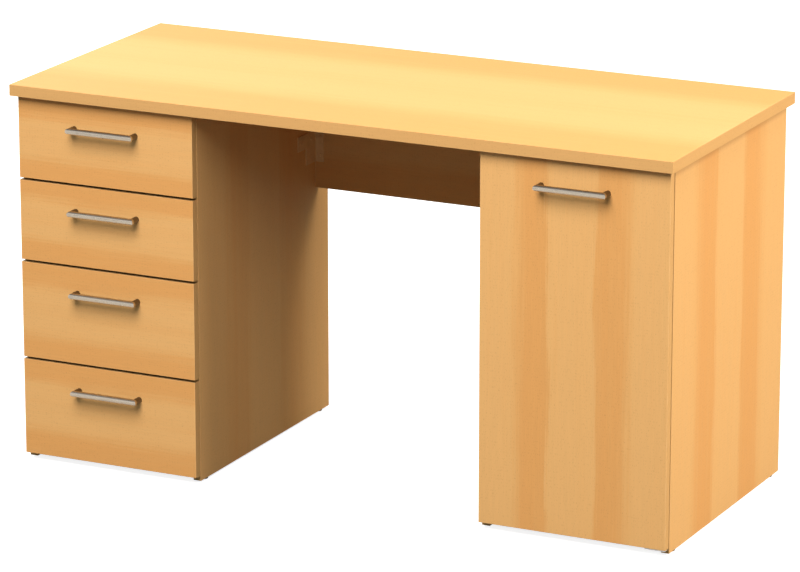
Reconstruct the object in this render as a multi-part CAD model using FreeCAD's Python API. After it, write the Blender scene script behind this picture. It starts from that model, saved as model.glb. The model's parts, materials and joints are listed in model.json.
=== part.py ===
import FreeCAD, Part
import os

Vector = FreeCAD.Vector

# Double-pedestal desk of melamine-faced board: four drawers on the left, a cupboard on the right.
# Millimetres, +Z up, front towards -Y, origin on the floor in the middle of the outer box.

# Overall sizes
overall_height = 750.0
desktop_width = 1364.0
desktop_depth = 596.0
desktop_thickness = 22.0
desktop_edge_radius = 1.0
side_overhang = 9.5
front_overhang = 15.5
back_overhang = 19.5

# Boards of the pedestals
pedestal_width = 376.0
board_thickness = 16.0
hardboard_thickness = 3.2
hardboard_inset = 12.0
board_groove_depth = 6.0
groove_clearance = 0.2
groove_end_room = 0.5

# Overlay fronts
front_thickness = 16.0
front_edge_radius = 0.8
front_clearance = 2.0
front_side_reveal = 0.5
front_gap = 4.5
front_floor_gap = 14.5
shallow_front_height = 157.5
shallow_drawers = 2
deep_drawers = 2

# Drawer boxes
drawer_board_thickness = 12.0
drawer_box_length = 450.0
drawer_box_lift = 44.0
shallow_box_height = 90.0
deep_box_height = 125.0
drawer_groove_depth = 5.0
drawer_floor_rise = 9.0

# Roller runners, one pair under each drawer box
runner_space = 12.5
runner_length = 448.0
runner_setback = 3.0
runner_sheet = 1.2
channel_width = 11.0
channel_lip = 3.0
channel_top_flange = 6.0
roller_diameter = 20.0
roller_width = 7.2
roller_play = 0.1
roller_headroom = 0.7
roller_side_play = 0.25
roller_end_distance = 14.0
roller_bore_clearance = 0.06
axle_diameter = 4.0
axle_head_diameter = 7.0
axle_head_thickness = 0.6
track_clearance = 0.3
track_flange = 11.0
drawer_flange = 10.0
tab_length = 28.0
notch_room = 2.0

# Bar handles
handle_length = 143.0
handle_diameter = 12.0
handle_projection = 26.0
handle_drop = 50.0
handle_screw_diameter = 4.0
handle_screw_depth = 7.0
handle_screw_head_diameter = 8.0
handle_screw_head_thickness = 2.4
screw_clearance = 0.25

# Cupboard
shelf_height = 372.0
shelf_setback = 30.0
shelf_end_room = 1.0
shelf_back_room = 2.0
pin_diameter = 5.0
pin_length = 18.0
pin_hole_depth = 9.0
pin_clearance = 0.05
pin_pitch = 32.0
pin_edge_distance = 37.0
pin_positions = 3

# Door pivots
pivot_inset = 6.0
pivot_forward = 11.0
pivot_plate_thickness = 2.0
pivot_plate_width = 12.0
pivot_plate_end = 4.5
pivot_running_gap = 0.3
pivot_pin_diameter = 5.0
pivot_pin_clearance = 0.06
pivot_pin_end_room = 0.4
rivet_clearance = 0.02
door_plate_length = 58.0
door_pocket_clearance = 0.1
carcass_plate_leg_width = 24.0
carcass_plate_leg_length = 45.0
carcass_plate_side_room = 2.0

# Magnetic catch
catch_height = 560.0
catch_width = 14.0
catch_length = 36.0
catch_rise = 44.0
catch_corner_radius = 2.0
catch_plate_thickness = 1.0
catch_plate_width = 13.0
catch_air_gap = 0.3
pole_thickness = 2.0
pole_reach = 2.5
pole_spacing = 24.0
pole_width = 10.0

# Modesty panel and its corner brackets
modesty_height = 257.5
modesty_inset = 39.5
bracket_sheet = 2.5
bracket_length = 76.0
bracket_leg_length = 42.0
bracket_head_height = 30.0
bracket_leg_height = 34.0
bracket_flange = 20.0
bracket_drop = 140.0

# Cam connectors between boards
cam_diameter = 15.0
cam_depth = 12.0
cam_clearance = 0.05
cam_setback = 34.0
cam_slot_width = 2.0
cam_slot_depth = 2.0
cam_slot_length = 9.0
bolt_diameter = 6.0
bolt_room = 0.6
bolt_reach = 11.0
bolt_clearance = 0.05
connector_edge_distance = 60.0

# Glides under the side panels
glide_height = 4.0
glide_diameter = 15.0
glide_floor_diameter = 12.0
glide_edge_distance = 30.0

# Places that follow from the sizes above
handle_reach = max(0.0, handle_projection - front_overhang)
desktop_back_y = (desktop_depth + handle_reach) / 2
desktop_front_y = desktop_back_y - desktop_depth
face_y = desktop_front_y + front_overhang
front_back_y = face_y + front_thickness
carcass_front_y = front_back_y + front_clearance
carcass_back_y = desktop_back_y - back_overhang
under_top = overall_height - desktop_thickness
outer_x = desktop_width / 2 - side_overhang
front_top = under_top - front_gap
hardboard_back_y = carcass_back_y - hardboard_inset
hardboard_front_y = hardboard_back_y - hardboard_thickness
base_low = front_floor_gap - pivot_running_gap
base_high = base_low + board_thickness
drawer_count = shallow_drawers + deep_drawers
deep_room = front_top - front_floor_gap - shallow_drawers * shallow_front_height
deep_front_height = (deep_room - (drawer_count - 1) * front_gap) / deep_drawers
roller_radius = roller_diameter / 2
channel_inside_height = roller_play + roller_diameter + roller_headroom
channel_height = channel_inside_height + 2 * runner_sheet
track_low = channel_height + track_clearance
track_high = track_low + runner_sheet
front_roller_rise = track_low - roller_play - roller_radius
rear_roller_rise = runner_sheet + roller_play + roller_radius
modesty_back_y = carcass_back_y - modesty_inset
modesty_front_y = modesty_back_y - board_thickness
connector_ys = [carcass_front_y + connector_edge_distance, hardboard_front_y - connector_edge_distance]
pedestals = {
    "left": (-outer_x, -outer_x + pedestal_width),
    "right": (outer_x - pedestal_width, outer_x),
}
right_wall_x = pedestals["right"][1] - board_thickness
pivot_x = outer_x - pivot_inset
pivot_y = carcass_front_y - pivot_forward
axis_x = Vector(1, 0, 0)
axis_y = Vector(0, 1, 0)
axis_z = Vector(0, 0, 1)
mitred_corners = 1

nodes = {}
cuts = {}
cams = []
bolts = []


def box(low, high):
    size = Vector(*high) - Vector(*low)
    return Part.makeBox(size.x, size.y, size.z, Vector(*low))


def rod(diameter, start, direction, length):
    return Part.makeCylinder(diameter / 2, length, start, direction)


def drill(node, shape):
    cuts.setdefault(node, []).append(shape)


def drilled(node, shape):
    return shape.cut(cuts[node]) if node in cuts else shape


def prism(points, direction):
    wire = Part.makePolygon(points + [points[0]])
    return Part.Face(wire).extrude(direction)


def round_edges(shape, radius, wanted):
    edges = [edge for edge in shape.Edges if wanted(edge)]
    return shape.makeFillet(radius, edges)


def lies_on(edge, axis, place):
    return all(abs(vertex.Point.dot(axis) - place) < 1e-6 for vertex in edge.Vertexes)


# A cam in one board's face grips a bolt that is screwed into the next board.
# The bolt crosses the joint at joint; thread points into the mate and face out of the cam's face.
def connect(board, mate, joint, thread, face):
    centre = joint - thread * cam_setback
    cam_top = centre + face * (board_thickness / 2)
    drill(board, rod(bolt_diameter + 2 * bolt_room, centre, thread, cam_setback))
    drill(board, rod(cam_diameter + 2 * cam_clearance, cam_top, face * -1, cam_depth + cam_clearance))
    drill(mate, rod(bolt_diameter + 2 * bolt_clearance, joint, thread, bolt_reach + bolt_clearance))
    slot_across = face.cross(thread)
    slot_start = cam_top - slot_across * (cam_slot_width / 2) - thread * (cam_slot_length / 2)
    slot = Part.Face(Part.makePolygon([
        slot_start,
        slot_start + thread * cam_slot_length,
        slot_start + thread * cam_slot_length + slot_across * cam_slot_width,
        slot_start + slot_across * cam_slot_width,
        slot_start,
    ])).extrude(face * -cam_slot_depth)
    cams.append(rod(cam_diameter, cam_top, face * -1, cam_depth).cut(slot))
    grip = cam_diameter / 2 + cam_clearance
    bolts.append(rod(bolt_diameter, centre + thread * grip, thread, cam_setback - grip + bolt_reach))


# Desktop

def make_desktop():
    low = (-desktop_width / 2, desktop_front_y, under_top)
    high = (desktop_width / 2, desktop_back_y, overall_height)
    top = box(low, high)
    top = round_edges(top, desktop_edge_radius, lambda edge: not lies_on(edge, axis_z, under_top))
    nodes["desktop"] = drilled("desktop", top)


# Pedestal carcasses

def board_names(side):
    if side == "left":
        return "left_outer_side", "left_inner_side"
    return "right_inner_side", "right_outer_side"


def connect_pedestal(side):
    low_x, high_x = pedestals[side]
    base = side + "_bottom_panel"
    for name, wall_x, inward in zip(board_names(side), (low_x, high_x), (axis_x, axis_x * -1)):
        middle_x = wall_x + inward.x * board_thickness / 2
        inside_x = wall_x + inward.x * board_thickness
        for y in connector_ys:
            connect(name, "desktop", Vector(middle_x, y, under_top), axis_z, inward)
            base_joint = Vector(inside_x, y, base_low + board_thickness / 2)
            connect(base, name, base_joint, inward * -1, axis_z * -1)


def make_side(name, wall_x, inward):
    inside_x = wall_x + inward.x * board_thickness
    low_x, high_x = sorted((wall_x, inside_x))
    side = box((low_x, carcass_front_y, glide_height), (high_x, carcass_back_y, under_top))
    groove_x = sorted((inside_x, inside_x - inward.x * board_groove_depth))
    groove_low = (groove_x[0], hardboard_front_y - groove_clearance, glide_height)
    groove_high = (groove_x[1], hardboard_back_y + groove_clearance, under_top)
    drill(name, box(groove_low, groove_high))
    middle_x = (low_x + high_x) / 2
    for y in (carcass_front_y + glide_edge_distance, carcass_back_y - glide_edge_distance):
        foot = Vector(middle_x, y, 0)
        glides.append(Part.makeCone(glide_floor_diameter / 2, glide_diameter / 2, glide_height, foot))
    nodes[name] = drilled(name, side)


def make_pedestal(side):
    low_x, high_x = pedestals[side]
    inside_low = low_x + board_thickness
    inside_high = high_x - board_thickness
    names = board_names(side)
    make_side(names[0], low_x, axis_x)
    make_side(names[1], high_x, axis_x * -1)
    base_name = side + "_bottom_panel"
    base = box((inside_low, carcass_front_y, base_low), (inside_high, hardboard_front_y, base_high))
    nodes[base_name] = drilled(base_name, base)
    tongue = board_groove_depth - groove_end_room
    nodes[side + "_back_panel"] = box(
        (inside_low - tongue, hardboard_front_y, base_low),
        (inside_high + tongue, hardboard_back_y, under_top - groove_end_room),
    )


# Modesty panel across the knee space, with an angle bracket at each end

def connect_modesty_panel():
    middle_y = (modesty_front_y + modesty_back_y) / 2
    for direction in (-1, 1):
        knee_half = outer_x - pedestal_width
        joint = Vector(direction * (knee_half - connector_edge_distance), middle_y, under_top)
        connect("modesty_panel", "desktop", joint, axis_z, axis_y)


def make_modesty_panel():
    knee_low = pedestals["left"][1]
    knee_high = pedestals["right"][0]
    panel_low = under_top - modesty_height
    panel = box((knee_low, modesty_front_y, panel_low), (knee_high, modesty_back_y, under_top))
    nodes["modesty_panel"] = drilled("modesty_panel", panel)
    nodes["corner_brackets"] = Part.makeCompound([
        make_bracket(knee_low, 1),
        make_bracket(knee_high, -1),
    ])


def make_bracket(wall_x, inward):
    high = under_top - bracket_drop
    step = high - bracket_head_height
    low = step - bracket_leg_height
    outline = [
        Vector(wall_x, modesty_front_y - bracket_length, high),
        Vector(wall_x, modesty_front_y, high),
        Vector(wall_x, modesty_front_y, low),
        Vector(wall_x, modesty_front_y - bracket_leg_length, low),
        Vector(wall_x, modesty_front_y - bracket_leg_length, step),
        Vector(wall_x, modesty_front_y - bracket_length, step),
    ]
    plate = prism(outline, axis_x * (inward * bracket_sheet))
    flange_x = sorted((wall_x, wall_x + inward * bracket_flange))
    flange = box(
        (flange_x[0], modesty_front_y - bracket_sheet, low),
        (flange_x[1], modesty_front_y, high),
    )
    return plate.fuse(flange).removeSplitter()


# Bar handle: a round bar with a leg mitred to each end, held by two screws from behind

def make_handle(middle_x, z):
    reach = handle_projection - handle_diameter / 2
    half = (handle_length - handle_diameter) / 2
    bar_y = face_y - reach
    left = middle_x - half
    right = middle_x + half
    path = Part.makePolygon([
        Vector(left, face_y, z),
        Vector(left, bar_y, z),
        Vector(right, bar_y, z),
        Vector(right, face_y, z),
    ])
    section = Part.Wire(Part.makeCircle(handle_diameter / 2, Vector(left, face_y, z), axis_y))
    bar = path.makePipeShell([section], True, False, mitred_corners)
    screws = []
    holes = []
    for x in (left, right):
        root = Vector(x, face_y - handle_screw_depth, z)
        length = handle_screw_depth + front_thickness
        hole_diameter = handle_screw_diameter + 2 * screw_clearance
        holes.append(rod(hole_diameter, root, axis_y, length))
        seat = Vector(x, front_back_y, z)
        head = rod(handle_screw_head_diameter, seat, axis_y, handle_screw_head_thickness)
        screws.append(rod(handle_screw_diameter, root, axis_y, length).fuse(head))
    bar = bar.cut(holes)
    return Part.makeCompound([bar] + screws), holes


def make_front(low_x, high_x, low_z, high_z):
    front = box((low_x, face_y, low_z), (high_x, front_back_y, high_z))
    return round_edges(front, front_edge_radius, lambda edge: lies_on(edge, axis_y, face_y))


# Drawers, numbered from the top

def drawer_levels():
    levels = []
    high = front_top
    for number in range(drawer_count):
        shallow = number < shallow_drawers
        height = shallow_front_height if shallow else deep_front_height
        box_height = shallow_box_height if shallow else deep_box_height
        levels.append((high - height, high, box_height))
        high -= height + front_gap
    return levels


def make_drawer(number, low_z, high_z, box_height):
    name = "drawer_" + str(number) + "_"
    low_x, high_x = pedestals["left"]
    box_low = low_z + drawer_box_lift
    box_high = box_low + box_height
    box_back_y = front_back_y + drawer_box_length
    outside = (low_x + board_thickness + runner_space, high_x - board_thickness - runner_space)
    inside = (outside[0] + drawer_board_thickness, outside[1] - drawer_board_thickness)
    floor_low = box_low + drawer_floor_rise
    floor_high = floor_low + hardboard_thickness
    groove = box(
        (inside[0] - drawer_groove_depth, front_back_y - drawer_groove_depth, floor_low - groove_clearance),
        (inside[1] + drawer_groove_depth, box_back_y, floor_high + groove_clearance),
    )
    handle, screw_holes = make_handle((low_x + high_x) / 2, high_z - handle_drop)
    front = make_front(low_x + front_side_reveal, high_x - front_side_reveal, low_z, high_z)
    left_side = box((outside[0], front_back_y, box_low), (inside[0], box_back_y, box_high))
    right_side = box((inside[1], front_back_y, box_low), (outside[1], box_back_y, box_high))
    nodes[name + "front"] = front.cut([groove] + screw_holes)
    nodes[name + "left_side"] = left_side.cut(groove)
    nodes[name + "right_side"] = right_side.cut(groove)
    nodes[name + "back"] = box(
        (inside[0], box_back_y - drawer_board_thickness, floor_high),
        (inside[1], box_back_y, box_high),
    )
    tongue = drawer_groove_depth - groove_end_room
    nodes[name + "bottom"] = box(
        (inside[0] - tongue, front_back_y - tongue, floor_low),
        (inside[1] + tongue, box_back_y, floor_high),
    )
    nodes[name + "handle"] = handle
    make_runners(name, box_low - track_high)


# Roller runners. Each hand is drawn outwards from the pedestal wall by wall_x and inward.

def at(wall_x, inward, across, y, z):
    return Vector(wall_x + inward * across, y, z)


def make_roller(wall_x, inward, across, y, z):
    start = at(wall_x, inward, across, y, z)
    toward = axis_x * inward
    bore = axle_diameter + 2 * roller_bore_clearance
    return rod(roller_diameter, start, toward, roller_width).cut(rod(bore, start, toward, roller_width))


def make_axle(wall_x, inward, foot, head, y, z):
    direction = 1 if head > foot else -1
    start = at(wall_x, inward, foot, y, z)
    toward = axis_x * (inward * direction)
    shank = rod(axle_diameter, start, toward, abs(head - foot))
    cap = rod(axle_head_diameter, start + toward * abs(head - foot), toward, axle_head_thickness)
    return shank.fuse(cap)


def make_cabinet_runner(wall_x, inward, low_z):
    start_y = carcass_front_y + runner_setback
    roller_y = start_y + roller_end_distance
    sheet = runner_sheet
    profile = [
        (0, 0),
        (channel_width, 0),
        (channel_width, channel_lip),
        (channel_width - sheet, channel_lip),
        (channel_width - sheet, sheet),
        (sheet, sheet),
        (sheet, channel_height - sheet),
        (channel_top_flange, channel_height - sheet),
        (channel_top_flange, channel_height),
        (0, channel_height),
    ]
    points = [at(wall_x, inward, across, start_y, low_z + rise) for across, rise in profile]
    channel = prism(points, axis_y * runner_length)
    notch_x = sorted((wall_x + inward * sheet, wall_x + inward * channel_width))
    notch_length = roller_end_distance + roller_radius + notch_room
    notch = box(
        (notch_x[0], start_y, low_z + channel_height - sheet),
        (notch_x[1], start_y + notch_length, low_z + channel_height),
    )
    roller_z = low_z + front_roller_rise
    roller_start = sheet + roller_side_play
    head = roller_start + roller_width + roller_side_play
    axle = make_axle(wall_x, inward, sheet, head, roller_y, roller_z)
    cabinet_runners.append(channel.cut(notch).fuse(axle).removeSplitter())
    return make_roller(wall_x, inward, roller_start, roller_y, roller_z)


def make_drawer_runner(wall_x, inward, low_z):
    start_y = front_back_y
    end_y = front_back_y + drawer_box_length
    sheet = runner_sheet
    foot = runner_space + drawer_board_thickness
    track_edge = runner_space - track_flange
    profile = [
        (track_edge, track_low),
        (foot, track_low),
        (foot, track_high),
        (runner_space, track_high),
        (runner_space, track_high + drawer_flange),
        (runner_space - sheet, track_high + drawer_flange),
        (runner_space - sheet, track_high),
        (track_edge, track_high),
    ]
    points = [at(wall_x, inward, across, start_y, low_z + rise) for across, rise in profile]
    member = prism(points, axis_y * (end_y - start_y))
    roller_start = sheet + axle_head_thickness + 2 * roller_side_play
    tab_across = roller_start + roller_width + roller_side_play
    tab_x = sorted((wall_x + inward * tab_across, wall_x + inward * (tab_across + sheet)))
    tab = box(
        (tab_x[0], end_y - tab_length, low_z + channel_lip + track_clearance),
        (tab_x[1], end_y, low_z + track_low),
    )
    roller_y = end_y - roller_end_distance
    roller_z = low_z + rear_roller_rise
    axle = make_axle(wall_x, inward, tab_across, roller_start - roller_side_play, roller_y, roller_z)
    roller = make_roller(wall_x, inward, roller_start, roller_y, roller_z)
    return member.fuse([tab, axle]).removeSplitter(), roller


def make_runners(name, low_z):
    low_x, high_x = pedestals["left"]
    hands = ((low_x + board_thickness, 1), (high_x - board_thickness, -1))
    front_rollers = []
    members = []
    rear_rollers = []
    for wall_x, inward in hands:
        front_rollers.append(make_cabinet_runner(wall_x, inward, low_z))
        member, rear_roller = make_drawer_runner(wall_x, inward, low_z)
        members.append(member)
        rear_rollers.append(rear_roller)
    nodes[name + "runners"] = Part.makeCompound(members)
    nodes[name + "front_rollers"] = Part.makeCompound(front_rollers)
    nodes[name + "rear_rollers"] = Part.makeCompound(rear_rollers)


# Cupboard shelf on four pins, with spare pin holes above and below

def make_shelf():
    low_x, high_x = pedestals["right"]
    walls = ((low_x + board_thickness, 1), (high_x - board_thickness, -1))
    front_y = carcass_front_y + shelf_setback
    back_y = hardboard_front_y - shelf_back_room
    pins = []
    for name, (wall_x, inward) in zip(board_names("right"), walls):
        for y in (front_y + pin_edge_distance, back_y - pin_edge_distance):
            for step in range(pin_positions):
                offset = step - (pin_positions - 1) // 2
                z = shelf_height - pin_diameter / 2 + offset * pin_pitch
                mouth = Vector(wall_x, y, z)
                outward = axis_x * -inward
                hole = pin_diameter + 2 * pin_clearance
                drill(name, rod(hole, mouth, outward, pin_hole_depth + pin_clearance))
                if offset == 0:
                    start = mouth + outward * pin_hole_depth
                    pins.append(rod(pin_diameter, start, outward * -1, pin_length))
    nodes["shelf_pins"] = Part.makeCompound(pins)
    nodes["cupboard_shelf"] = box(
        (walls[0][0] + shelf_end_room, front_y, shelf_height),
        (walls[1][0] - shelf_end_room, back_y, shelf_height + board_thickness),
    )


# Cupboard door on a pivot plate above and below its hinged edge

def make_carcass_plate(low_z):
    leg_high_x = right_wall_x - carcass_plate_side_room
    leg_low_x = leg_high_x - carcass_plate_leg_width
    tongue_low_y = pivot_y - pivot_plate_width / 2
    tongue_high_y = pivot_y + pivot_plate_width / 2
    leg_back_y = carcass_front_y + carcass_plate_leg_length
    outline = [
        Vector(leg_low_x, tongue_low_y, low_z),
        Vector(pivot_x + pivot_plate_end, tongue_low_y, low_z),
        Vector(pivot_x + pivot_plate_end, tongue_high_y, low_z),
        Vector(leg_high_x, tongue_high_y, low_z),
        Vector(leg_high_x, leg_back_y, low_z),
        Vector(leg_low_x, leg_back_y, low_z),
    ]
    plate = prism(outline, axis_z * pivot_plate_thickness)
    eye = pivot_pin_diameter + 2 * pivot_pin_clearance
    return plate.cut(rod(eye, Vector(pivot_x, pivot_y, low_z), axis_z, pivot_plate_thickness))


def make_door_plate(low_z):
    plate = box(
        (pivot_x + pivot_plate_end - door_plate_length, pivot_y - pivot_plate_width / 2, low_z),
        (pivot_x + pivot_plate_end, pivot_y + pivot_plate_width / 2, low_z + pivot_plate_thickness),
    )
    eye = pivot_pin_diameter + 2 * rivet_clearance
    return plate.cut(rod(eye, Vector(pivot_x, pivot_y, low_z), axis_z, pivot_plate_thickness))


def make_door_pocket(low_z, high_z):
    room = door_pocket_clearance
    plate_high_x = pivot_x + pivot_plate_end
    return box(
        (plate_high_x - door_plate_length - room, pivot_y - pivot_plate_width / 2 - room, low_z),
        (plate_high_x + room, pivot_y + pivot_plate_width / 2 + room, high_z),
    )


def make_door():
    low_x, high_x = pedestals["right"]
    low_z = front_floor_gap
    high_z = front_top
    thickness = pivot_plate_thickness
    handle, screw_holes = make_handle((low_x + high_x) / 2, high_z - handle_drop)
    door = make_front(low_x + front_side_reveal, high_x - front_side_reveal, low_z, high_z)
    pockets = [make_door_pocket(low_z, low_z + thickness), make_door_pocket(high_z - thickness, high_z)]
    nodes["door_panel"] = door.cut(pockets + screw_holes)
    nodes["door_handle"] = handle
    nodes["door_pivot_plates"] = Part.makeCompound([
        make_door_plate(low_z),
        make_door_plate(high_z - thickness),
    ])
    lower_pin_low = base_low - thickness
    upper_pin_high = under_top - pivot_pin_end_room
    lower_foot = Vector(pivot_x, pivot_y, lower_pin_low)
    upper_foot = Vector(pivot_x, pivot_y, high_z - thickness)
    nodes["pivot_pins"] = Part.makeCompound([
        rod(pivot_pin_diameter, lower_foot, axis_z, low_z + thickness - lower_pin_low),
        rod(pivot_pin_diameter, upper_foot, axis_z, upper_pin_high - upper_foot.z),
    ])
    nodes["pivot_hinge_plates"] = Part.makeCompound([
        make_carcass_plate(base_low - thickness),
        make_carcass_plate(under_top - thickness),
    ])
    make_catch(low_x + board_thickness)


# Magnetic catch on the cupboard's inner wall and its steel plate on the door

def make_catch(wall_x):
    plate_y = front_back_y + catch_plate_thickness
    pole_y = plate_y + catch_air_gap
    body_y = pole_y + pole_reach
    low_z = catch_height - catch_rise / 2
    high_z = catch_height + catch_rise / 2
    body = box((wall_x, body_y, low_z), (wall_x + catch_width, body_y + catch_length, high_z))
    catch_face_x = wall_x + catch_width
    body = round_edges(body, catch_corner_radius, lambda edge: lies_on(edge, axis_x, catch_face_x))
    pole_low_x = wall_x + (catch_width - pole_width) / 2
    poles = []
    for offset in (-pole_spacing / 2, pole_spacing / 2):
        pole_low = catch_height + offset - pole_thickness / 2
        poles.append(box(
            (pole_low_x, pole_y, pole_low),
            (pole_low_x + pole_width, body_y, pole_low + pole_thickness),
        ))
    nodes["door_catch"] = body.fuse(poles)
    plate_x = wall_x + catch_width / 2
    nodes["catch_plate"] = box(
        (plate_x - catch_plate_width / 2, front_back_y, low_z),
        (plate_x + catch_plate_width / 2, plate_y, high_z),
    )


# Build in the order in which boards are drilled before they are cut

glides = []
cabinet_runners = []
for pedestal in pedestals:
    connect_pedestal(pedestal)
connect_modesty_panel()
make_shelf()
make_desktop()
for pedestal in pedestals:
    make_pedestal(pedestal)
make_modesty_panel()
for index, level in enumerate(drawer_levels()):
    make_drawer(index + 1, *level)
make_door()
nodes["floor_glides"] = Part.makeCompound(glides)
nodes["cabinet_runners"] = Part.makeCompound(cabinet_runners)
nodes["cam_fittings"] = Part.makeCompound(cams)
nodes["connecting_bolts"] = Part.makeCompound(bolts)

os.makedirs("parts", exist_ok=True)
for node, shape in nodes.items():
    shape.exportStep("parts/" + node + ".step")
print(len(nodes), "nodes")
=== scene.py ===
import json
import math
import bpy
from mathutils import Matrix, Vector


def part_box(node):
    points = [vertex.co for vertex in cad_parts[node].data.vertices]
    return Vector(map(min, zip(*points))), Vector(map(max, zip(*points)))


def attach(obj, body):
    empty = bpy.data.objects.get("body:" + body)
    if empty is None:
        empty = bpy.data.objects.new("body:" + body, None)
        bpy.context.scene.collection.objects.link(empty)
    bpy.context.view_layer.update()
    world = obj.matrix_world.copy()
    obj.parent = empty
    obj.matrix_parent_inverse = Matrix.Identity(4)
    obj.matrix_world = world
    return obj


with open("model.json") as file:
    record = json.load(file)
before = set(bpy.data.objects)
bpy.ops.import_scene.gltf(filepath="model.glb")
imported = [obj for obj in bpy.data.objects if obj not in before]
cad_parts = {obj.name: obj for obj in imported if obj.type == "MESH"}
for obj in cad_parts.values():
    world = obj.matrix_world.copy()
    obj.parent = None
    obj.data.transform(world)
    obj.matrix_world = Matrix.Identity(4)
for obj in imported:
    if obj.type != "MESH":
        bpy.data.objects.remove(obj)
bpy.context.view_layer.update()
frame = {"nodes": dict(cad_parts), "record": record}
nodes = frame["nodes"]
slotOf = {part["node"]: part["material_slot"] for part in frame["record"]["subparts"]}
drawers = ["drawer_" + str(number) for number in range(1, 5)]
print("desk frame loaded:", len(nodes), "pieces")


# a node socket that takes part in sums, so that a finish reads as plain maths
class Wire:
    def __init__(self, socket):
        self.socket = socket
        self.tree = socket.id_data

    def node(self, kind, settings=None, sockets=None, out=0):
        made = self.tree.nodes.new("ShaderNode" + kind)
        for name, value in (settings or {}).items():
            setattr(made, name, value)
        for name, value in (sockets or {}).items():
            if isinstance(value, Wire):
                self.tree.links.new(value.socket, made.inputs[name])
            else:
                made.inputs[name].default_value = value
        return Wire(made.outputs[out])

    def maths(self, operation, first, second):
        return self.node("Math", {"operation": operation}, {0: first, 1: second})

    def __add__(self, other):
        return self.maths("ADD", self, other)

    def __sub__(self, other):
        return self.maths("SUBTRACT", self, other)

    def __rsub__(self, other):
        return self.maths("SUBTRACT", other, self)

    def __mul__(self, other):
        return self.maths("MULTIPLY", self, other)

    def __truediv__(self, other):
        return self.maths("DIVIDE", self, other)

    def __abs__(self):
        return self.maths("ABSOLUTE", self, 0.0)

    __radd__ = __add__
    __rmul__ = __mul__


def lesser(first, second):
    return first.maths("MINIMUM", first, second)


def ease(value, low, high):  # 0 below low, 1 above high, smooth between
    return value.node("MapRange", {"interpolation_type": "SMOOTHSTEP"},
                      {"Value": value, "From Min": low, "From Max": high})


def blend(mask, under, over):
    return mask.node("Mix", {"data_type": "RGBA"}, {0: mask, 6: under, 7: over}, out=2)


def tint(colour, shade):  # colour times a grey value
    return colour.node("Mix", {"data_type": "RGBA", "blend_type": "MULTIPLY"},
                       {0: 1.0, 6: colour, 7: shade}, out=2)


def split(vector):
    return [Wire(socket) for socket in vector.node("SeparateXYZ", None, {0: vector}).socket.node.outputs]


def join(x, y, z):
    first = next(value for value in (x, y, z) if isinstance(value, Wire))
    return first.node("CombineXYZ", None, {0: x, 1: y, 2: z})


def noise(where, detail=2.0, scale=1.0):
    return where.node("TexNoise", None, {"Vector": where, "Scale": scale, "Detail": detail})


def rgba(colour):
    return (*colour, 1.0)


def newFinish(name):
    material = bpy.data.materials.new(name)
    material.use_nodes = True
    shader = material.node_tree.nodes["Principled BSDF"]
    coordinates = material.node_tree.nodes.new("ShaderNodeTexCoord")
    return material, shader, Wire(coordinates.outputs["Object"])


def feed(shader, **wires):
    for name, wire in wires.items():
        wire.tree.links.new(wire.socket, shader.inputs[name.replace("_", " ")])


def relief(height, strength, distance):
    return height.node("Bump", None, {"Strength": strength, "Distance": distance, "Height": height})


def dress(node, material):
    held = nodes[node].data.materials
    held.clear()
    held.append(material)


# beech-print melamine on the boards, metres throughout
beech = {
    "light": (0.720, 0.405, 0.151),
    "dark": (0.680, 0.338, 0.109),
    "fleck": (0.40, 0.195, 0.066),
    "worn": (0.80, 0.58, 0.33),
    "edge": (0.625, 0.352, 0.129),   # glued edge strips
    "wander": 0.013,                 # how far a band's edge strays along the board
    "ripple": 0.006,                 # and within a few centimetres
    "feather": 0.016,                # and from fibre to fibre
    "wanderScale": (1.3, 4.0),       # each scale: along the grain, across it
    "rippleScale": (15.0, 30.0),
    "featherScale": (5.0, 240.0),
    "streakScale": (2.2, 75.0),
    "fibreScale": (16.0, 460.0),
    "fleckScale": (170.0, 900.0),
    "rubScale": (40.0, 40.0),
    "pearlScale": 1400.0,
    "seedStep": 1.73,                # from board to board
    "stripFacing": (0.4, 0.7),       # how far a normal turns before a face counts as a strip
    "edgeFacing": (0.5, 0.8),
    "streakBlend": 0.95,             # how much of the darker tone a streak takes
    "streakTone": 0.05,
    "fibreTone": 0.10,
    "overhangShade": 0.66,            # painted shadow of the desktop on the outer sides close under it
    "overhangReach": (0.002, 0.020),
    "kneeBands": 0.55,               # share of the bands' depth on the sides of the knee space
    "gapShade": 0.46,                 # painted shade on the strips that face each other between the fronts
    "fleckSize": (0.16, 0.34),
    "fleckChance": (0.55, 0.62),
    "fleckShare": 0.45,
    "rubbed": (0.35, 0.7),
    "wearWidth": (0.0002, 0.0016),
    "wearShare": 0.35,
    "roughness": 0.58,
    "fibreRough": 0.16,
    "wearRough": 0.12,
    "fleckSmooth": 0.05,
    "specular": 0.08,
    "pearlRise": 0.6,
    "fibreRise": 0.8,
    "fleckSink": 0.7,
    "bump": (0.14, 0.0003),          # strength and depth
}
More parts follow.
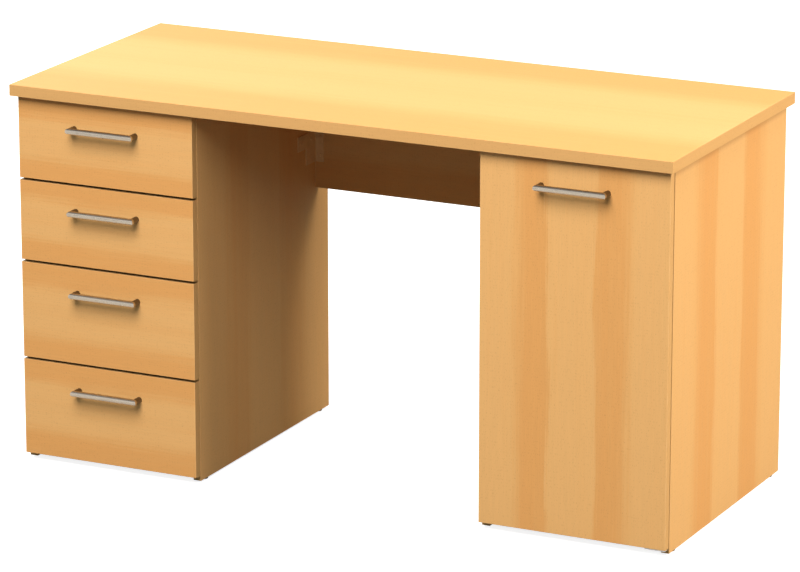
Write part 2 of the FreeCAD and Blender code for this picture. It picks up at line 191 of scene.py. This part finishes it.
# dark bands of the print in shares of the board's width:
# where each begins, is full, starts to fade and ends, and how deep it is
bandsOf = {
    "crosswise": ((-0.30, -0.20, 0.15, 0.36, 1.0),
                  (0.42, 0.50, 0.54, 0.62, 0.16),
                  (0.68, 0.86, 1.20, 1.30, 1.0)),
    "upright": ((0.15, 0.27, 0.355, 0.385, 1.0),
                (0.605, 0.635, 0.73, 0.85, 1.0)),
}
acrossDesk, alongDepth, upDesk = 0, 1, 2
boardGrain = {
    "desktop": acrossDesk,
    "modesty_panel": acrossDesk,
    "left_bottom_panel": acrossDesk,
    "right_bottom_panel": acrossDesk,
    "cupboard_shelf": acrossDesk,
    "left_outer_side": upDesk,
    "left_inner_side": upDesk,
    "right_inner_side": upDesk,
    "right_outer_side": upDesk,
    "door_panel": upDesk,
}
for drawer in drawers:
    boardGrain[drawer + "_front"] = acrossDesk
    boardGrain[drawer + "_left_side"] = alongDepth
    boardGrain[drawer + "_right_side"] = alongDepth
    boardGrain[drawer + "_back"] = acrossDesk


def beechDecor(node, grain, seed):
    material, shader, place = newFinish("beech_" + node)
    low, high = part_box(node)
    size = high - low
    thick = min(range(3), key=lambda axis: size[axis])
    across = 3 - grain - thick
    spot = split(place)
    normal = split(Wire(place.socket.node.outputs["Normal"]))
    strip = 1 - ease(abs(normal[thick]), *beech["stripFacing"])  # edge strips
    end = ease(abs(normal[grain]), *beech["edgeFacing"])         # strips that cross the grain
    along = spot[grain] + (spot[across] - spot[grain]) * end
    cross = spot[across] + (spot[thick] - spot[across]) * strip

    def grained(scale, shift):  # a place drawn out along the grain, shifted for each pattern
        return join(along * beech[scale][0], cross * beech[scale][1], seed + shift)

    stray = (noise(grained("wanderScale", 0.0), 3.0) - 0.5) * (2 * beech["wander"])
    ripple = (noise(grained("rippleScale", 5.0), 3.0) - 0.5) * (2 * beech["ripple"])
    feather = (noise(grained("featherScale", 9.0)) - 0.5) * (2 * beech["feather"])
    share = (spot[across] - low[across] + stray + ripple + feather) / size[across]
    dark = 0.0
    strength = beech["kneeBands"] if node.endswith("_inner_side") else 1.0
    for faint, full, last, gone, depth in bandsOf["upright" if grain == upDesk else "crosswise"]:
        dark = dark + ease(share, faint, full) * (1 - ease(share, last, gone)) * (depth * strength)

    streak = noise(grained("streakScale", 3.0), 3.0) - 0.5
    fibre = noise(grained("fibreScale", 7.0)) - 0.5
    cell = grained("fleckScale", 11.0)
    dash = cell.node("TexVoronoi", None, {"Vector": cell, "Scale": 1.0})
    chosen = split(Wire(dash.socket.node.outputs["Color"]))[0]
    fleck = (1 - ease(dash, *beech["fleckSize"])) * ease(chosen, *beech["fleckChance"])

    edges = [lesser(spot[axis] - low[axis], high[axis] - spot[axis]) for axis in (grain, across)]
    rubbed = ease(noise(grained("rubScale", 17.0)), *beech["rubbed"])
    worn = (1 - ease(lesser(*edges), *beech["wearWidth"])) * rubbed * (1 - strip)

    colour = blend(dark + streak * beech["streakBlend"], rgba(beech["light"]), rgba(beech["dark"]))
    colour = blend(strip, colour, rgba(beech["edge"]))
    colour = blend(fleck * beech["fleckShare"], colour, rgba(beech["fleck"]))
    colour = blend(worn * beech["wearShare"], colour, rgba(beech["worn"]))
    shade = 1 + fibre * beech["fibreTone"] + streak * beech["streakTone"]
    # painted shade in the gaps, on the top and bottom strips of the drawer fronts
    if node.endswith("_front"):
        gapShadeMask = ease(abs(normal[upDesk]), *beech["edgeFacing"])
        shade = shade * (1 - gapShadeMask * (1 - beech["gapShade"]))
    # painted shadow of the desktop's overhang, darkest right under it
    if node.endswith("_outer_side"):
        clear = ease(high[upDesk] - spot[upDesk], *beech["overhangReach"])
        shade = shade * (beech["overhangShade"] + clear * (1 - beech["overhangShade"]))
    feed(shader, Base_Color=tint(colour, shade))
    uneven = fibre * beech["fibreRough"] + worn * beech["wearRough"] - fleck * beech["fleckSmooth"]
    feed(shader, Roughness=beech["roughness"] + uneven)
    pearl = noise(place, 2.0, beech["pearlScale"])
    height = pearl * beech["pearlRise"] + fibre * beech["fibreRise"] - fleck * beech["fleckSink"]
    feed(shader, Normal=relief(height, *beech["bump"]))
    shader.inputs["Specular IOR Level"].default_value = beech["specular"]
    return material


for seed, (node, grain) in enumerate(boardGrain.items()):
    dress(node, beechDecor(node, grain, seed * beech["seedStep"]))
print("beech boards:", len(boardGrain))

hardboard = {
    "ground": (0.36, 0.205, 0.095),
    "pale": (0.50, 0.315, 0.165),
    "speck": (0.16, 0.085, 0.04),
    "cloudScale": 26.0,
    "pulpScale": 420.0,
    "speckScale": 520.0,
    "pulpShare": 0.8,
    "cloudShare": 0.2,
    "mottle": (0.30, 0.70),
    "speckSize": (0.10, 0.26),
    "speckShare": 0.5,
    "roughness": 0.62,
    "pulpRough": 0.25,
    "specular": 0.25,
    "bump": (0.25, 0.0004),
}


def makeHardboard():
    material, shader, place = newFinish("hardboard")
    cloud = noise(place, 4.0, hardboard["cloudScale"])
    pulp = noise(place, 5.0, hardboard["pulpScale"])
    chip = place.node("TexVoronoi", None, {"Vector": place, "Scale": hardboard["speckScale"]})
    speck = 1 - ease(chip, *hardboard["speckSize"])
    pressed = pulp * hardboard["pulpShare"] + cloud * hardboard["cloudShare"]
    mottle = ease(pressed, *hardboard["mottle"])
    colour = blend(mottle, rgba(hardboard["ground"]), rgba(hardboard["pale"]))
    feed(shader, Base_Color=blend(speck * hardboard["speckShare"], colour, rgba(hardboard["speck"])))
    feed(shader, Roughness=hardboard["roughness"] + (pulp - 0.5) * hardboard["pulpRough"])
    feed(shader, Normal=relief(pulp, *hardboard["bump"]))
    shader.inputs["Specular IOR Level"].default_value = hardboard["specular"]
    return material


nickel = {
    "colour": (0.60, 0.525, 0.43),
    "dull": (0.47, 0.41, 0.33),
    "paintedLegShade": (0.17, 0.14, 0.105),     # painted shade on the legs behind the bar
    "barDepth": (0.0025, 0.0095),    # where it comes in, from the bar's front
    "screwDepth": (0.028, 0.034),    # and where it gives way to the screws
    "brushScale": (24.0, 1900.0),    # along the bar, across it
    "touchScale": 55.0,
    "brushTone": (0.42, 0.75),
    "brushShare": 0.6,
    "roughness": 0.28,
    "brushRough": 0.16,
    "touchRough": 0.10,
    "legRough": 0.15,
    "bump": (0.03, 0.0002),
}


def makeSatinNickel():
    material, shader, place = newFinish("satin_nickel")
    x, y, z = split(place)
    lengthwise, crosswise = nickel["brushScale"]
    brushed = noise(join(x * lengthwise, y * crosswise, z * crosswise), 3.0)
    touched = noise(place, 3.0, nickel["touchScale"])
    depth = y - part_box("door_handle")[0].y
    # painted shade on the legs and the back of the bar, which are also made rougher there
    legShadeMask = ease(depth, *nickel["barDepth"]) * (1 - ease(depth, *nickel["screwDepth"]))
    lines = ease(brushed, *nickel["brushTone"]) * nickel["brushShare"]
    colour = blend(lines, rgba(nickel["colour"]), rgba(nickel["dull"]))
    feed(shader, Base_Color=blend(legShadeMask, colour, rgba(nickel["paintedLegShade"])))
    uneven = (brushed - 0.5) * nickel["brushRough"] + (touched - 0.5) * nickel["touchRough"]
    feed(shader, Roughness=nickel["roughness"] + uneven + legShadeMask * nickel["legRough"])
    feed(shader, Normal=relief(brushed, *nickel["bump"]))
    shader.inputs["Metallic"].default_value = 1.0
    return material


coatedSteel = {
    "paint": (0.79, 0.77, 0.71),
    "scuff": (0.42, 0.41, 0.39),
    "peelScale": 380.0,
    "trackScale": (5.0, 900.0),      # along the runner, across it
    "scuffScale": 18.0,
    "trackRange": (0.62, 0.78),
    "scuffRange": (0.5, 0.65),
    "scuffShare": 0.5,
    "roughness": 0.34,
    "scuffRough": 0.2,
    "peelRough": 0.1,
    "bump": (0.12, 0.0005),
}


def makeCoatedSteel():
    material, shader, place = newFinish("coated_steel")
    x, y, z = split(place)
    lengthwise, crosswise = coatedSteel["trackScale"]
    peel = noise(place, 2.0, coatedSteel["peelScale"])
    track = noise(join(x * crosswise, y * lengthwise, z * crosswise))
    patch = noise(place, 2.0, coatedSteel["scuffScale"])
    scuff = ease(track, *coatedSteel["trackRange"]) * ease(patch, *coatedSteel["scuffRange"])
    bared = scuff * coatedSteel["scuffShare"]
    feed(shader, Base_Color=blend(bared, rgba(coatedSteel["paint"]), rgba(coatedSteel["scuff"])))
    uneven = scuff * coatedSteel["scuffRough"] + (peel - 0.5) * coatedSteel["peelRough"]
    feed(shader, Roughness=coatedSteel["roughness"] + uneven)
    feed(shader, Normal=relief(peel, *coatedSteel["bump"]))
    return material


mouldings = {
    "nylon": {"colour": (0.82, 0.80, 0.73), "shade": (0.66, 0.63, 0.55),
              "roughness": 0.42, "grain": 900.0},
    "dark_plastic": {"colour": (0.045, 0.034, 0.028), "shade": (0.085, 0.07, 0.06),
                     "roughness": 0.5, "grain": 1500.0},
    "brown_plastic": {"colour": (0.72, 0.45, 0.20), "shade": (0.64, 0.39, 0.165),
                      "roughness": 0.48, "grain": 1300.0},
}
mouldFlow = {"scale": 60.0, "range": (0.4, 0.72), "share": 0.7, "grainRough": 0.2, "flowRough": 0.12,
             "bump": (0.16, 0.0003)}


def makeMoulded(name, look):
    material, shader, place = newFinish(name)
    flow = noise(place, 3.0, mouldFlow["scale"])
    spark = noise(place, 2.0, look["grain"])
    handled = ease(flow, *mouldFlow["range"]) * mouldFlow["share"]
    feed(shader, Base_Color=blend(handled, rgba(look["colour"]), rgba(look["shade"])))
    uneven = (spark - 0.5) * mouldFlow["grainRough"] + (flow - 0.5) * mouldFlow["flowRough"]
    feed(shader, Roughness=look["roughness"] + uneven)
    feed(shader, Normal=relief(spark, *mouldFlow["bump"]))
    return material


zinc = {
    "bright": (0.70, 0.70, 0.69),
    "dull": (0.50, 0.505, 0.51),
    "crystalScale": 260.0,
    "stainScale": 120.0,
    "spangleShare": 0.5,
    "stainShare": 0.4,
    "roughness": 0.33,
    "spangleRough": 0.12,
    "stainRough": 0.2,
    "bump": (0.1, 0.0003),
}


def makeZinc():
    material, shader, place = newFinish("zinc_steel")
    crystal = place.node("TexVoronoi", None, {"Vector": place, "Scale": zinc["crystalScale"]})
    spangle = split(Wire(crystal.socket.node.outputs["Color"]))[1]
    stain = noise(place, 4.0, zinc["stainScale"])
    clouded = spangle * zinc["spangleShare"] + stain * zinc["stainShare"]
    feed(shader, Base_Color=blend(clouded, rgba(zinc["bright"]), rgba(zinc["dull"])))
    uneven = spangle * zinc["spangleRough"] + (stain - 0.5) * zinc["stainRough"]
    feed(shader, Roughness=zinc["roughness"] + uneven)
    feed(shader, Normal=relief(stain, *zinc["bump"]))
    shader.inputs["Metallic"].default_value = 1.0
    return material


finishes = {
    "hardboard": makeHardboard(),
    "satin_nickel": makeSatinNickel(),
    "coated_steel": makeCoatedSteel(),
    "zinc_steel": makeZinc(),
}
for name, look in mouldings.items():
    finishes[name] = makeMoulded(name, look)
for node, slot in slotOf.items():
    if node not in boardGrain:
        dress(node, finishes[slot])
print("other finishes:", len(finishes))


# small fittings that the boards carry, each modelled once at the origin with its head towards +Z
bench = {"merge": 0.000005, "smoothAngle": 32, "sameLevel": 1e-6, "faceUp": 0.99}


def startPiece(name, segments, diameter, height):
    bpy.ops.object.select_all(action="DESELECT")
    bpy.ops.mesh.primitive_cylinder_add(vertices=segments, radius=diameter / 2, depth=height,
                                        location=(0, 0, height / 2))
    piece = bpy.context.object
    piece.name = name
    bpy.ops.object.transform_apply(location=True, rotation=True, scale=True)
    return piece


def pickRim(piece, height):  # the edges round the flat at this height
    bpy.ops.object.mode_set(mode="EDIT")
    bpy.ops.mesh.select_mode(type="EDGE")
    bpy.ops.mesh.select_all(action="DESELECT")
    bpy.ops.object.mode_set(mode="OBJECT")
    corners = piece.data.vertices
    for edge in piece.data.edges:
        levels = [corners[corner].co.z for corner in edge.vertices]
        edge.select = all(abs(level - height) < bench["sameLevel"] for level in levels)
    bpy.ops.object.mode_set(mode="EDIT")


def pickTop(piece):  # the highest face that looks up
    bpy.ops.object.mode_set(mode="EDIT")
    bpy.ops.mesh.select_mode(type="FACE")
    bpy.ops.mesh.select_all(action="DESELECT")
    bpy.ops.object.mode_set(mode="OBJECT")
    highest = max(face.center.z for face in piece.data.polygons)
    for face in piece.data.polygons:
        face.select = face.normal.z > bench["faceUp"] and highest - face.center.z < bench["sameLevel"]
    bpy.ops.object.mode_set(mode="EDIT")


def endPiece(piece):
    bpy.ops.object.mode_set(mode="EDIT")
    bpy.ops.mesh.select_all(action="SELECT")
    bpy.ops.mesh.remove_doubles(threshold=bench["merge"])
    bpy.ops.mesh.normals_make_consistent(inside=False)
    bpy.ops.object.mode_set(mode="OBJECT")
    bpy.ops.object.shade_smooth_by_angle(angle=math.radians(bench["smoothAngle"]))
    return piece


screw = {"head": 0.007, "rise": 0.0016, "dome": 0.0011, "sides": 24, "steps": 4,
         "slotLength": 0.0042, "slotWidth": 0.0010, "slotDepth": 0.0009}


def makeScrew():
    piece = startPiece("screwPattern", screw["sides"], screw["head"], screw["rise"])
    pickRim(piece, screw["rise"])
    bpy.ops.mesh.bevel(offset=screw["dome"], segments=screw["steps"], profile=0.5)
    bpy.ops.object.mode_set(mode="OBJECT")
    bpy.ops.object.select_all(action="DESELECT")
    bpy.ops.mesh.primitive_cube_add(size=1.0)       # cross-shaped cutter
    cutter = bpy.context.object
    bpy.ops.object.mode_set(mode="EDIT")
    bpy.ops.transform.resize(value=(screw["slotLength"], screw["slotWidth"], 2 * screw["slotDepth"]))
    bpy.ops.mesh.duplicate()
    bpy.ops.transform.rotate(value=math.pi / 2, orient_axis="Z", center_override=(0, 0, 0))
    bpy.ops.mesh.select_all(action="SELECT")
    bpy.ops.transform.translate(value=(0, 0, screw["rise"]))
    bpy.ops.object.mode_set(mode="OBJECT")
    bpy.ops.object.select_all(action="DESELECT")
    piece.select_set(True)
    bpy.context.view_layer.objects.active = piece
    cross = piece.modifiers.new("cross", "BOOLEAN")
    cross.object = cutter
    cross.operation = "DIFFERENCE"
    cross.solver = "EXACT"
    cross.use_self = True
    bpy.ops.object.modifier_apply(modifier=cross.name)
    bpy.data.objects.remove(cutter)
    return endPiece(piece)


def makeCap(name, cap):
    piece = startPiece(name, cap["sides"], cap["diameter"], cap["rise"])
    pickRim(piece, cap["rise"])
    bpy.ops.mesh.bevel(offset=cap["round"], segments=cap["steps"], profile=0.5)
    pickTop(piece)
    bpy.ops.mesh.inset(thickness=cap["rim"], depth=-cap["dish"])
    bpy.ops.mesh.inset(thickness=cap["rim"], depth=0.0)
    return endPiece(piece)


bumper = {"diameter": 0.008, "rise": 0.0016, "dome": 0.0013, "sides": 24, "steps": 4, "fromCorner": 0.014}


def makeBumper():
    piece = startPiece("bumperPattern", bumper["sides"], bumper["diameter"], bumper["rise"])
    pickRim(piece, bumper["rise"])
    bpy.ops.mesh.bevel(offset=bumper["dome"], segments=bumper["steps"], profile=0.5)
    return endPiece(piece)


# one object for each group of fittings, spots are (place, direction of the head)
def fit(pattern, name, spots, body, slot):
    bpy.ops.object.select_all(action="DESELECT")
    copies = []
    for place, heading in spots:
        copied = pattern.copy()
        copied.data = pattern.data.copy()
        bpy.context.scene.collection.objects.link(copied)
        copied.location = place
        copied.rotation_euler = Vector(heading).to_track_quat("Z", "Y").to_euler()
        copied.select_set(True)
        copies.append(copied)
    bpy.context.view_layer.objects.active = copies[0]
    bpy.ops.object.transform_apply(location=True, rotation=True, scale=True)
    if len(copies) > 1:
        bpy.ops.object.join()
    group = bpy.context.view_layer.objects.active
    group.name = name
    group.data.name = name
    group.data.materials.clear()
    group.data.materials.append(finishes[slot])
    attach(group, body)


camCap = {"diameter": 0.0172, "rise": 0.0014, "round": 0.0008, "rim": 0.0022, "dish": 0.0002,
          "sides": 32, "steps": 3, "fromTop": 0.034, "fromEdge": 0.060}
frontCap = {"diameter": 0.0125, "rise": 0.0010, "round": 0.0006, "rim": 0.0016, "dish": 0.0002,
            "sides": 32, "steps": 3, "fromFront": 0.024}
inwardOf = {"left_outer_side": 1, "left_inner_side": -1, "right_inner_side": 1, "right_outer_side": -1}
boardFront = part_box("left_outer_side")[0].y
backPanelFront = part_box("left_back_panel")[0].y
panelLow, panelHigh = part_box("modesty_panel")


def capSpots():
    spots = []
    for node, inward in inwardOf.items():
        low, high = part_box(node)
        face = high.x if inward > 0 else low.x
        for y in (boardFront + camCap["fromEdge"], backPanelFront - camCap["fromEdge"]):
            spots.append(((face, y, high.z - camCap["fromTop"]), (inward, 0, 0)))
    for x in (panelLow.x + camCap["fromEdge"], panelHigh.x - camCap["fromEdge"]):
        spots.append(((x, panelHigh.y, panelHigh.z - camCap["fromTop"]), (0, 1, 0)))
    return spots


# bracket screws: distances from the modesty panel's front, from its top and from the pedestal
bracket = {"sheet": 0.0025, "sideScrews": ((0.060, 0.155), (0.020, 0.155), (0.020, 0.189)),
           "panelScrews": ((0.0120, 0.152), (0.0120, 0.190))}


def bracketSpots():
    spots = []
    for wall, inward in ((panelLow.x, 1), (panelHigh.x, -1)):
        for forward, down in bracket["sideScrews"]:
            place = (wall + inward * bracket["sheet"], panelLow.y - forward, panelHigh.z - down)
            spots.append((place, (inward, 0, 0)))
        for aside, down in bracket["panelScrews"]:
            place = (wall + inward * aside, panelLow.y - bracket["sheet"], panelHigh.z - down)
            spots.append((place, (0, -1, 0)))
    return spots


# screws of the door's pivot plates and of its catch
doorFixing = {"plate": 0.002, "fromWall": 0.014, "fromBack": (0.010, 0.032),
              "catchBack": 0.018, "catchPitch": 0.020}


def hingeSpots():
    low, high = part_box("pivot_hinge_plates")
    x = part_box("right_outer_side")[0].x - doorFixing["fromWall"]
    levels = (low.z, high.z - doorFixing["plate"])
    return [((x, high.y - back, z), (0, 0, -1)) for z in levels for back in doorFixing["fromBack"]]


def catchSpots():
    low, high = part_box("door_catch")
    middle = (low.z + high.z) / 2
    half = doorFixing["catchPitch"] / 2
    y = high.y - doorFixing["catchBack"]
    return [((high.x, y, z), (1, 0, 0)) for z in (middle - half, middle + half)]


def strikeSpot():
    low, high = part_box("catch_plate")
    return [(((low.x + high.x) / 2, high.y, (low.z + high.z) / 2), (0, 1, 0))]


# runner screws: along the cabinet channel, and along the flange on the drawer's side
runner = {"sheet": 0.0012, "channelBelow": 0.0131, "channelScrews": (0.034, 0.066), "flangeMiddle": 0.005,
          "flangeEnd": 0.040}


def channelSpots():
    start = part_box("cabinet_runners")[0].y
    spots = []
    for drawer in drawers:
        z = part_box(drawer + "_left_side")[0].z - runner["channelBelow"]
        for node in ("left_outer_side", "left_inner_side"):
            inward = inwardOf[node]
            low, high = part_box(node)
            x = (high.x if inward > 0 else low.x) + inward * runner["sheet"]
            for along in runner["channelScrews"]:
                spots.append(((x, start + along, z), (inward, 0, 0)))
    return spots


def flangeSpots(drawer):
    spots = []
    for node, outward in ((drawer + "_left_side", -1), (drawer + "_right_side", 1)):
        low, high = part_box(node)
        x = (low.x if outward < 0 else high.x) + outward * runner["sheet"]
        for y in (low.y + runner["flangeEnd"], (low.y + high.y) / 2, high.y - runner["flangeEnd"]):
            spots.append(((x, y, low.z + runner["flangeMiddle"]), (outward, 0, 0)))
    return spots


def fixingSpots(drawer):
    spots = []
    for node, inward in ((drawer + "_left_side", 1), (drawer + "_right_side", -1)):
        low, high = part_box(node)
        x = high.x if inward > 0 else low.x
        spots.append(((x, low.y + frontCap["fromFront"], (low.z + high.z) / 2), (inward, 0, 0)))
    return spots


# soft dots on the carcass that the fronts close against
def bumperSpots():
    inset = bumper["fromCorner"]
    spots = []
    for drawer in drawers:
        low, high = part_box(drawer + "_front")
        for node in ("left_outer_side", "left_inner_side"):
            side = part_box(node)
            spots.append((((side[0].x + side[1].x) / 2, boardFront, low.z + inset), (0, -1, 0)))
    low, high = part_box("door_panel")
    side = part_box("right_inner_side")
    for z in (low.z + inset, high.z - inset):
        spots.append((((side[0].x + side[1].x) / 2, boardFront, z), (0, -1, 0)))
    return spots


screwPattern = makeScrew()
capPattern = makeCap("capPattern", camCap)
smallCapPattern = makeCap("smallCapPattern", frontCap)
bumperPattern = makeBumper()
fit(capPattern, "cam_caps", capSpots(), "carcass", "brown_plastic")
fit(bumperPattern, "closing_dots", bumperSpots(), "carcass", "nylon")
fit(screwPattern, "bracket_screws", bracketSpots(), "carcass", "brown_plastic")
fit(screwPattern, "pivot_plate_screws", hingeSpots(), "carcass", "zinc_steel")
fit(screwPattern, "catch_screws", catchSpots(), "carcass", "zinc_steel")
fit(screwPattern, "channel_screws", channelSpots(), "carcass", "zinc_steel")
fit(screwPattern, "catch_plate_screw", strikeSpot(), "door", "zinc_steel")
for drawer in drawers:
    fit(screwPattern, drawer + "_flange_screws", flangeSpots(drawer), drawer, "zinc_steel")
    fit(smallCapPattern, drawer + "_front_caps", fixingSpots(drawer), drawer, "brown_plastic")
for pattern in (screwPattern, capPattern, smallCapPattern, bumperPattern):
    bpy.data.objects.remove(pattern)
print("fittings placed")

# white studio floor: the camera sees it white, mirrors see it plainly lit, its shadows stay
studio = {
    "floorSize": 60.0,
    "floorGlow": 0.86,
    "floorSeen": 0.5,
    "floorBounce": 0.11,
    "sky": 0.315,
    "skyTone": (0.70, 0.91, 1.0),
    "ceiling": 0.25,         # what mirrors see overhead
    "ceilingRise": (0.45, 0.8),
    "floorLevel": -0.0005,
}


def seenDirectly(tree):  # by the camera, a mirror or through glass, and by a mirror alone
    path = tree.nodes.new("ShaderNodeLightPath")
    camera = Wire(path.outputs["Is Camera Ray"])
    mirrored = Wire(path.outputs["Is Glossy Ray"])
    return camera + mirrored + Wire(path.outputs["Is Transmission Ray"]), mirrored


def makeFloor():
    bpy.ops.object.select_all(action="DESELECT")
    bpy.ops.mesh.primitive_plane_add(size=studio["floorSize"], location=(0, 0, studio["floorLevel"]))
    floor = bpy.context.object
    floor.name = "studioFloor"
    material = bpy.data.materials.new("studio_floor")
    material.use_nodes = True
    tree = material.node_tree
    tree.nodes.remove(tree.nodes["Principled BSDF"])
    seen, mirrored = seenDirectly(tree)
    bounce = seen.node("BsdfDiffuse", None, {"Color": rgba([studio["floorBounce"]] * 3)})
    shown = seen.node("BsdfDiffuse", None, {"Color": rgba([studio["floorSeen"]] * 3)})
    glow = seen.node("Emission", None, {"Color": (1, 1, 1, 1), "Strength": studio["floorGlow"]})
    white = seen.node("AddShader", None, {0: shown, 1: glow})
    visible = seen.node("MixShader", None, {0: mirrored, 1: white, 2: shown})
    surface = seen.node("MixShader", None, {0: seen, 1: bounce, 2: visible})
    tree.links.new(surface.socket, tree.nodes["Material Output"].inputs["Surface"])
    floor.data.materials.append(material)


def makeSky():
    world = bpy.data.worlds.new("studio")
    bpy.context.scene.world = world
    world.use_nodes = True
    background = world.node_tree.nodes["Background"]
    seen = seenDirectly(world.node_tree)[0]
    direction = world.node_tree.nodes.new("ShaderNodeTexCoord")
    height = split(Wire(direction.outputs["Generated"]))[2]
    backdrop = 1 - ease(height, *studio["ceilingRise"]) * (1 - studio["ceiling"])
    level = studio["sky"] + seen * (backdrop - studio["sky"])
    colour = blend(seen, rgba(studio["skyTone"]), (1, 1, 1, 1))
    world.node_tree.links.new(colour.socket, background.inputs["Color"])
    world.node_tree.links.new(level.socket, background.inputs["Strength"])


softboxes = {
    "rightKey": {"place": (4.4, 0.4, 2.2), "aim": (0.4, 0.0, 0.4), "size": (2.4, 2.0),
                 "tone": (1.0, 0.91, 0.81), "inMirrors": False, "watts": 221.0},
    "frontFill": {"place": (0.5, -4.75, 5.7), "aim": (0.0, 0.0, 0.4), "size": (4.0, 4.4),
                  "tone": (1.0, 0.94, 0.90), "inMirrors": False, "watts": 730.0},
    "backFill": {"place": (-3.6, 2.6, 3.4), "aim": (0.0, 0.2, 0.3), "size": (2.4, 1.6),
                 "tone": (1.0, 0.965, 0.82), "inMirrors": True, "watts": 192.0},
}


def makeSoftbox(name, box):
    lamp = bpy.data.lights.new(name, "AREA")
    lamp.shape = "RECTANGLE"
    lamp.size, lamp.size_y = box["size"]
    lamp.energy = box["watts"]
    lamp.color = box["tone"]
    lightObject = bpy.data.objects.new(name, lamp)
    bpy.context.scene.collection.objects.link(lightObject)
    lightObject.location = box["place"]
    lightObject.visible_glossy = box["inMirrors"]
    toward = Vector(box["aim"]) - Vector(box["place"])
    lightObject.rotation_euler = toward.to_track_quat("-Z", "Y").to_euler()


makeFloor()
makeSky()
for name, box in softboxes.items():
    makeSoftbox(name, box)
print("studio lit by", len(softboxes), "softboxes")

view = {
    "place": (3.7172, -7.6425, 2.7729),
    "yaw": 25.933,           # degrees turned left, from a place to the right of the desk
    "pitch": 15.836,         # degrees below level
    "focalPixels": 4617.8,
    "framePixels": 800,
    "sensor": 36.0,
    "farthest": 200.0,
}
camera = bpy.data.objects.new("deskCamera", bpy.data.cameras.new("deskCamera"))
bpy.context.scene.collection.objects.link(camera)
camera.location = view["place"]
camera.rotation_euler = (math.radians(90 - view["pitch"]), 0.0, math.radians(view["yaw"]))
camera.data.sensor_width = view["sensor"]
camera.data.lens = view["focalPixels"] * view["sensor"] / view["framePixels"]
camera.data.clip_end = view["farthest"]
bpy.context.scene.camera = camera
bpy.context.scene.view_settings.view_transform = "Standard"
print("camera set")
